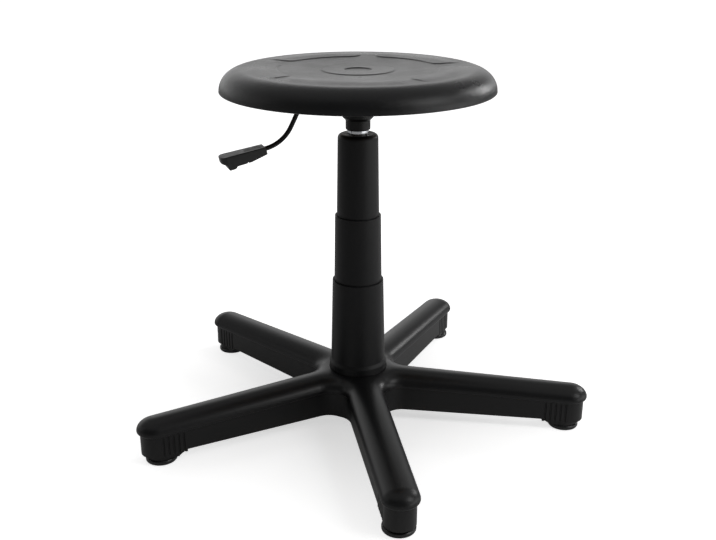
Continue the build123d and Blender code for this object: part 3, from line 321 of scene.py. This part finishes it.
# Cover: three thin tubes of polypropylene that hang in one another and hide the column.
# They are moulded with a satin grain, and sliding draws faint upright rub marks on them.
polypropylene, place = new_material("polypropylene_moulded")
satin = add_node(polypropylene, "ShaderNodeTexNoise",
                 {"Scale": texture_scale(0.5), "Detail": 3.0}, {"Vector": place})
rub_place = add_node(polypropylene, "ShaderNodeMapping", {"Scale": (1.0, 1.0, 0.02)},
                     {"Vector": place})
rub_marks = add_node(polypropylene, "ShaderNodeTexNoise",
                     {"Scale": texture_scale(1.5), "Detail": 5.0, "Roughness": 0.65},
                     {"Vector": rub_place.outputs[0]})
finger_marks = add_node(polypropylene, "ShaderNodeTexNoise",
                        {"Scale": texture_scale(30.0), "Detail": 3.0}, {"Vector": place})
cover_shades = add_node(polypropylene, "ShaderNodeMix",
                        {"A": colour("0d0d0e"), "B": colour("121213")},
                        {"Factor": finger_marks.outputs["Fac"]}, data_type="RGBA")
cover_gloss = add_node(polypropylene, "ShaderNodeMapRange",
                       {"From Min": 0.3, "From Max": 0.7, "To Min": 0.4, "To Max": 0.5},
                       {"Value": rub_marks.outputs["Fac"]})
satin_bump = add_node(polypropylene, "ShaderNodeBump",
                      {"Strength": 0.12, "Distance": millimetres(0.1)},
                      {"Height": satin.outputs["Fac"]})
rub_bump = add_node(polypropylene, "ShaderNodeBump",
                    {"Strength": 0.03, "Distance": millimetres(0.1)},
                    {"Height": rub_marks.outputs["Fac"], "Normal": satin_bump.outputs[0]})
close_material(polypropylene, {"IOR": 1.49, "Specular IOR Level": 0.24},
               {"Base Color": cover_shades.outputs["Result"],
                "Roughness": cover_gloss.outputs[0], "Normal": rub_bump.outputs[0]})
coat(polypropylene, "cover_lower", "cover_middle", "cover_upper")


# Mechanism: a pressed steel housing and plate with a welded taper socket, all powder
# coated after welding. The bead round the socket is laid in one pass, so it is rippled.
def smooth_mesh(name, points, faces):
    """A new piece with smooth shading, from points in metres."""
    mesh = bpy.data.meshes.new(name)
    mesh.from_pydata(points, [], faces)
    mesh.validate()
    mesh.polygons.foreach_set("use_smooth", [True] * len(mesh.polygons))
    piece = bpy.data.objects.new(name, mesh)
    bpy.context.scene.collection.objects.link(piece)
    return piece


bead_radius = 19.6
bead_level = 428.7
bead_half_width = 1.7
bead_half_height = 1.4
ripple_depth = 0.18
ripple_count = 40
bead_sides = 480
bead_corners = 12

bead_points, bead_faces = [], []
for side in range(bead_sides):
    turn = 2.0 * math.pi * side / bead_sides
    near = side * bead_corners
    far = ((side + 1) % bead_sides) * bead_corners
    for corner in range(bead_corners):
        swing = 2.0 * math.pi * corner / bead_corners
        # The ripples lie on the outer, lower face of the bead
        ripple = ripple_depth * max(0.0, math.cos(swing + math.radians(45.0)))
        radius = (bead_radius + bead_half_width * math.cos(swing)
                  + ripple * math.sin(ripple_count * turn))
        bead_points.append((
            millimetres(radius * math.cos(turn)),
            millimetres(radius * math.sin(turn)),
            millimetres(bead_level + bead_half_height * math.sin(swing)),
        ))
        after = (corner + 1) % bead_corners
        bead_faces.append((near + corner, far + corner, far + after, near + after))
socket_weld = smooth_mesh("socket_weld", bead_points, bead_faces)
socket_weld.data.materials.append(powder)
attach(socket_weld, "lift")
coat(powder, "taper_socket", "mechanism_housing", "mounting_plate")
coat(zinc, "pivot_pin", "mounting_bolts", "mounting_washers", "tee_nuts")


# Seat board: crossed veneers of beech, glued, cut round and sanded, bolted to the plate
# below. Its faces show straight grain, and its edge shows the veneers as 3 mm stripes.
plywood, place = new_material("beech_plywood_sanded")
levels = add_node(plywood, "ShaderNodeSeparateXYZ", None, {"Vector": place})
# Every second veneer shows its darker end grain at the edge
veneer_thickness = 3.14
veneer = add_node(plywood, "ShaderNodeMath", {1: millimetres(veneer_thickness)},
                  {0: levels.outputs["Z"]}, operation="PINGPONG")
veneer_share = add_node(plywood, "ShaderNodeMapRange",
                        {"From Min": millimetres(1.3), "From Max": millimetres(1.8)},
                        {"Value": veneer.outputs[0]})
fibre_place = add_node(plywood, "ShaderNodeMapping", {"Scale": (0.05, 1.0, 1.0)},
                       {"Vector": place})
fibres = add_node(plywood, "ShaderNodeTexNoise",
                  {"Scale": texture_scale(1.2), "Detail": 6.0, "Distortion": 0.5},
                  {"Vector": fibre_place.outputs[0]})
face_wood = add_node(plywood, "ShaderNodeMix", {"A": colour("b98d5f"), "B": colour("d9b688")},
                     {"Factor": fibres.outputs["Fac"]}, data_type="RGBA")
stripes = add_node(plywood, "ShaderNodeMix", {"B": colour("8a6340")},
                   {"Factor": veneer_share.outputs[0], "A": face_wood.outputs["Result"]},
                   data_type="RGBA")
fibre_bump = add_node(plywood, "ShaderNodeBump",
                      {"Strength": 0.2, "Distance": millimetres(0.1)},
                      {"Height": fibres.outputs["Fac"]})
close_material(plywood, {"IOR": 1.5, "Roughness": 0.62},
               {"Base Color": stripes.outputs["Result"], "Normal": fibre_bump.outputs[0]})
coat(plywood, "seat_board")


# Seat: one round cushion, moulded in soft integral-skin polyurethane round a plywood
# board. The mould gives it a dished top, five raised pads, a raised centre disc, a fine
# leather-like grain and a faint parting line at its widest level.
def soft_step(value):
    """Rises smoothly from 0 to 1 as value does."""
    value = min(1.0, max(0.0, value))
    return value * value * (3.0 - 2.0 * value)


seat_outer = 175.0
seat_rim_level = 484.0
seat_base_level = 451.0
seat_edge_width = 29.0
seat_edge_height = 26.0
seat_dish_radius = 118.0
seat_dish_depth = 3.6
pad_turns = [37.6 + 72.0 * number for number in range(5)]
pad_half_turn = 30.5
pad_middle_radius = 122.5
pad_half_width = 20.5
pad_corner = 13.0
pad_rise = 0.75
pad_edge_width = 3.2
pad_groove_depth = 0.25
pad_fade_end = 142.0
groove_offset = 2.2
groove_half_width = 1.3
button_radius = 46.0
button_rise = 0.8
button_groove_depth = 0.2
button_dimple_radius = 17.0
button_dimple_depth = 1.1
button_dimple_edge_width = 2.6
parting_ridge = 0.18


def pad_distance(radius, turn):
    """How far a point lies outside the outline of the nearest pad, in millimetres."""
    gap = min(abs((turn - middle + 180.0) % 360.0 - 180.0) for middle in pad_turns)
    across = abs(radius - pad_middle_radius) - (pad_half_width - pad_corner)
    along = radius * math.radians(gap - pad_half_turn) + pad_corner
    outside = math.hypot(max(across, 0.0), max(along, 0.0))
    return outside + min(max(across, along), 0.0) - pad_corner


def groove(distance):
    """Depth, from 0 to 1, of the shallow groove that runs round a raised edge."""
    return math.exp(-((distance - groove_offset) / groove_half_width) ** 2)


def seat_top_level(radius, turn):
    """Height of the seat's top, with its dish, its pads and its centre disc."""
    level = seat_rim_level
    if radius < seat_dish_radius:
        level -= seat_dish_depth * (1.0 - (radius / seat_dish_radius) ** 2)
    # The pads run out into the seat's edge, so they rise less towards it
    beyond = pad_distance(radius, turn)
    pad_share = soft_step((pad_fade_end - radius) / (pad_fade_end - pad_middle_radius))
    level += pad_share * pad_rise * soft_step(0.5 - beyond / pad_edge_width)
    level -= pad_share * pad_groove_depth * groove(beyond)
    beyond = radius - button_radius
    level += button_rise * soft_step(0.5 - beyond / pad_edge_width)
    level -= button_groove_depth * groove(beyond)
    beyond = radius - button_dimple_radius
    level -= button_dimple_depth * soft_step(0.5 - beyond / button_dimple_edge_width)
    return level


seat_sides = 600
top_rings = 150
edge_rings = 28
edge_start = seat_outer - seat_edge_width
edge_middle = seat_rim_level - seat_edge_height
# The outline below the top, as radius and level: the round edge, the parting line, the
# lower edge, the underside, and the recess that takes the board
outline = []
for step in range(1, edge_rings + 1):
    swing = math.radians(90.0 * step / edge_rings)
    outline.append((edge_start + seat_edge_width * math.sin(swing),
                    edge_middle + seat_edge_height * math.cos(swing)))
outline += [(seat_outer, 457.7), (seat_outer + parting_ridge, 457.45),
            (seat_outer + parting_ridge, 457.15), (174.95, 456.9)]
outline += [(174.6, 456.55), (173.9, 456.2), (172.8, 455.9)]
outline += [(165.0, 454.9), (155.0, 453.6), (145.0, 452.2), (138.5, 451.25),
            (135.0, seat_base_level), (131.4, seat_base_level)]
outline += [(130.6, 451.3), (130.3, 452.0), (130.3, 463.9), (129.0, 464.2), (60.0, 464.2)]


def seat_point(radius, side, level):
    """A point of the seat, on one of its equal sides round the swivel axis."""
    turn = 2.0 * math.pi * side / seat_sides
    return (millimetres(radius * math.cos(turn)), millimetres(radius * math.sin(turn)),
            millimetres(level))


seat_points = [seat_point(0.0, 0, seat_top_level(0.0, 0.0))]
for ring in range(1, top_rings + 1):
    radius = edge_start * ring / top_rings
    for side in range(seat_sides):
        level = seat_top_level(radius, 360.0 * side / seat_sides)
        seat_points.append(seat_point(radius, side, level))
for radius, level in outline:
    seat_points += [seat_point(radius, side, level) for side in range(seat_sides)]
recess_middle = len(seat_points)
seat_points.append(seat_point(0.0, 0, outline[-1][1]))

last_ring = recess_middle - seat_sides
seat_faces = [(0, 1 + side, 1 + (side + 1) % seat_sides) for side in range(seat_sides)]
for ring in range(1, last_ring, seat_sides):
    below = ring + seat_sides
    for side in range(seat_sides):
        following = (side + 1) % seat_sides
        seat_faces.append((ring + side, below + side, below + following, ring + following))
for side in range(seat_sides):
    seat_faces.append((last_ring + side, recess_middle, last_ring + (side + 1) % seat_sides))
seat = smooth_mesh("seat_cushion", seat_points, seat_faces)

# Integral-skin polyurethane, moulded: a dark satin skin. The grain is drawn at 1.7 mm,
# about three times as coarse as the real one, so that it sparkles in the lights.
skin, place = new_material("polyurethane_skin_moulded")
leather = add_node(skin, "ShaderNodeTexVoronoi",
                   {"Scale": texture_scale(1.7), "Randomness": 1.0},
                   {"Vector": place}, feature="DISTANCE_TO_EDGE")
creases = add_node(skin, "ShaderNodeMapRange", {"From Max": 0.16, "To Max": 1.0},
                   {"Value": leather.outputs["Distance"]})
pebble = add_node(skin, "ShaderNodeTexNoise", {"Scale": texture_scale(0.8), "Detail": 3.0},
                  {"Vector": place})
crease_bump = add_node(skin, "ShaderNodeBump",
                       {"Strength": 0.35, "Distance": millimetres(0.2)},
                       {"Height": creases.outputs[0]})
skin_bump = add_node(skin, "ShaderNodeBump", {"Strength": 0.2, "Distance": millimetres(0.12)},
                     {"Height": pebble.outputs["Fac"], "Normal": crease_bump.outputs[0]})
rub = add_node(skin, "ShaderNodeTexNoise", {"Scale": texture_scale(42.0), "Detail": 5.0},
               {"Vector": place})
skin_gloss = add_node(skin, "ShaderNodeMapRange",
                      {"From Min": 0.3, "From Max": 0.7, "To Min": 0.27, "To Max": 0.34},
                      {"Value": rub.outputs["Fac"]})
skin_shades = add_node(skin, "ShaderNodeMix",
                       {"A": colour("0f0f10"), "B": colour("151516")},
                       {"Factor": rub.outputs["Fac"]}, data_type="RGBA")
close_material(skin, {"IOR": 1.5, "Specular IOR Level": 0.3, "Sheen Weight": 0.04,
                      "Sheen Roughness": 0.5},
               {"Base Color": skin_shades.outputs["Result"], "Roughness": skin_gloss.outputs[0],
                "Normal": skin_bump.outputs[0]})
seat.data.materials.append(skin)
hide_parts("seat_shell")
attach(seat, "lift")


# Release lever: a bent 6 mm steel rod, powder coated, welded to the sleeve that turns on
# the pivot pin. The grip is a push-on moulding in nylon, ribbed for the thumb.
grip_nylon, place = new_material("nylon_moulded_grained")
grip_grain = add_node(grip_nylon, "ShaderNodeTexNoise",
                      {"Scale": texture_scale(0.6), "Detail": 4.0}, {"Vector": place})
grip_rub = add_node(grip_nylon, "ShaderNodeTexNoise",
                    {"Scale": texture_scale(11.0), "Detail": 4.0}, {"Vector": place})
grip_shades = add_node(grip_nylon, "ShaderNodeMix",
                       {"A": colour("0f1010"), "B": colour("181919")},
                       {"Factor": grip_rub.outputs["Fac"]}, data_type="RGBA")
grip_gloss = add_node(grip_nylon, "ShaderNodeMapRange",
                      {"From Min": 0.3, "From Max": 0.7, "To Min": 0.34, "To Max": 0.5},
                      {"Value": grip_rub.outputs["Fac"]})
grip_bump = add_node(grip_nylon, "ShaderNodeBump",
                     {"Strength": 0.2, "Distance": millimetres(0.12)},
                     {"Height": grip_grain.outputs["Fac"]})
close_material(grip_nylon, {"IOR": 1.53, "Specular IOR Level": 0.4},
               {"Base Color": grip_shades.outputs["Result"], "Roughness": grip_gloss.outputs[0],
                "Normal": grip_bump.outputs[0]})
coat(grip_nylon, "lever_grip")
coat(powder, "lever_rod")


# Studio: a pale floor that keeps the stool's shadow, a bright wall behind the stool, a wide
# light overhead, three soft lights on the right and a weak one on the left. The camera is
# at the photograph's viewpoint.
scene = bpy.context.scene
floor_reach = 9.0
floor_corners = [(across * floor_reach, along * floor_reach, 0.0)
                 for across, along in ((-1, -1), (1, -1), (1, 1), (-1, 1))]
floor_mesh = bpy.data.meshes.new("floor")
floor_mesh.from_pydata(floor_corners, [], [(0, 1, 2, 3)])
floor = bpy.data.objects.new("floor", floor_mesh)
scene.collection.objects.link(floor)

# The camera sees a white floor with a painted shade round the stool, where its glow is
# weaker, and glossy pieces see a tenth of it. Only its plain pale colour lights the stool
# and takes the shadow.
white_floor, place = new_material("white_floor")
rays = add_node(white_floor, "ShaderNodeLightPath")
distance = add_node(white_floor, "ShaderNodeVectorMath", None, {0: place}, operation="LENGTH")
# Painted shade: the floor's glow drops near the stool, so the floor looks greyer round its base
glow_with_painted_shade = add_node(white_floor, "ShaderNodeMapRange",
                    {"From Min": 0.1, "From Max": 0.6, "To Min": 0.58, "To Max": 1.0},
                    {"Value": distance.outputs["Value"]})
reflected = add_node(white_floor, "ShaderNodeMath", {1: 0.1},
                     {0: rays.outputs["Is Glossy Ray"]}, operation="MULTIPLY")
seen = add_node(white_floor, "ShaderNodeMath", None,
                {0: rays.outputs["Is Camera Ray"], 1: reflected.outputs[0]},
                operation="MAXIMUM")
glow = add_node(white_floor, "ShaderNodeMath", None,
                {0: seen.outputs[0], 1: glow_with_painted_shade.outputs[0]}, operation="MULTIPLY")
matt = add_node(white_floor, "ShaderNodeBsdfDiffuse", {"Color": colour("e6e6e6")})
lit = add_node(white_floor, "ShaderNodeEmission", {"Color": colour("ffffff")},
               {"Strength": glow.outputs[0]})
both = add_node(white_floor, "ShaderNodeAddShader", None,
                {0: matt.outputs[0], 1: lit.outputs[0]})
add_node(white_floor, "ShaderNodeOutputMaterial", None, {"Surface": both.outputs[0]})
floor_mesh.materials.append(white_floor)

# The room is white to the camera and through glass. As the pieces mirror it, it is dim,
# with one bright low wall behind the stool.
world = bpy.data.worlds.new("studio")
scene.world = world
world.use_nodes = True
world.node_tree.nodes.clear()
sky_rays = add_node(world, "ShaderNodeLightPath")
white_seen = add_node(world, "ShaderNodeMath", None,
                      {0: sky_rays.outputs["Is Camera Ray"],
                       1: sky_rays.outputs["Is Transmission Ray"]}, operation="MAXIMUM")
sky_place = add_node(world, "ShaderNodeTexCoord").outputs["Generated"]
wall_direction = (-0.2, 0.98, 0.0)
sky_side = add_node(world, "ShaderNodeVectorMath", {1: wall_direction}, {0: sky_place},
                    operation="DOT_PRODUCT")
back_wall = add_node(world, "ShaderNodeMapRange",
                     {"From Min": 0.5, "From Max": 0.86, "To Min": 0.05, "To Max": 0.95},
                     {"Value": sky_side.outputs["Value"]})
sky_parts = add_node(world, "ShaderNodeSeparateXYZ", None, {"Vector": sky_place})
wall_fade = add_node(world, "ShaderNodeMapRange",
                     {"From Min": 0.3, "From Max": 0.65, "To Min": 1.0, "To Max": 0.0},
                     {"Value": sky_parts.outputs["Z"]}, interpolation_type="SMOOTHSTEP")
room_level = add_node(world, "ShaderNodeMath", {2: 0.1},
                      {0: back_wall.outputs[0], 1: wall_fade.outputs[0]},
                      operation="MULTIPLY_ADD")
sky_level = add_node(world, "ShaderNodeMix", {"B": 1.0},
                     {"Factor": white_seen.outputs[0], "A": room_level.outputs[0]})
sky = add_node(world, "ShaderNodeBackground", {"Color": colour("ffffff")},
               {"Strength": sky_level.outputs[0]})
add_node(world, "ShaderNodeOutputWorld", None, {"Surface": sky.outputs[0]})


def soft_light(name, place, aim_level, width, height, power):
    """A rectangular lamp, sizes in metres and power in watts, turned to the swivel axis."""
    lamp = bpy.data.lights.new(name, "AREA")
    lamp.shape = "RECTANGLE"
    lamp.size = width
    lamp.size_y = height
    lamp.energy = power
    light = bpy.data.objects.new(name, lamp)
    scene.collection.objects.link(light)
    light.location = place
    aim = Vector((0.0, 0.0, aim_level)) - Vector(place)
    light.rotation_euler = aim.to_track_quat("-Z", "Y").to_euler()


soft_light("overhead", (0.0, 0.2, 2.4), aim_level=0.35, width=4.0, height=3.0, power=13.0)
soft_light("front_right", (1.2, -0.85, 1.3), aim_level=0.25, width=0.8, height=0.8, power=8.0)
soft_light("right_panel", (2.0, -0.95, 0.36), aim_level=0.3, width=2.6, height=0.7, power=12.0)
soft_light("back_right", (1.83, 0.95, 1.0), aim_level=0.45, width=0.5, height=0.6, power=9.5)
soft_light("left_side", (-1.9, 0.2, 1.1), aim_level=0.3, width=0.5, height=1.4, power=1.5)

photo_width_px = 716.0
focal_length_px = 944.6
camera_tilt_down = 20.508
camera_turn = -9.4
camera_data = bpy.data.cameras.new("camera")
camera_data.sensor_width = 36.0
camera_data.lens = camera_data.sensor_width * focal_length_px / photo_width_px
camera_data.clip_end = 50.0
camera = bpy.data.objects.new("camera", camera_data)
scene.collection.objects.link(camera)
camera.location = (-0.196, -1.1839, 0.6609)
camera.rotation_euler = (math.radians(90.0 - camera_tilt_down), 0.0, math.radians(camera_turn))
scene.camera = camera
scene.view_settings.view_transform = "Standard"
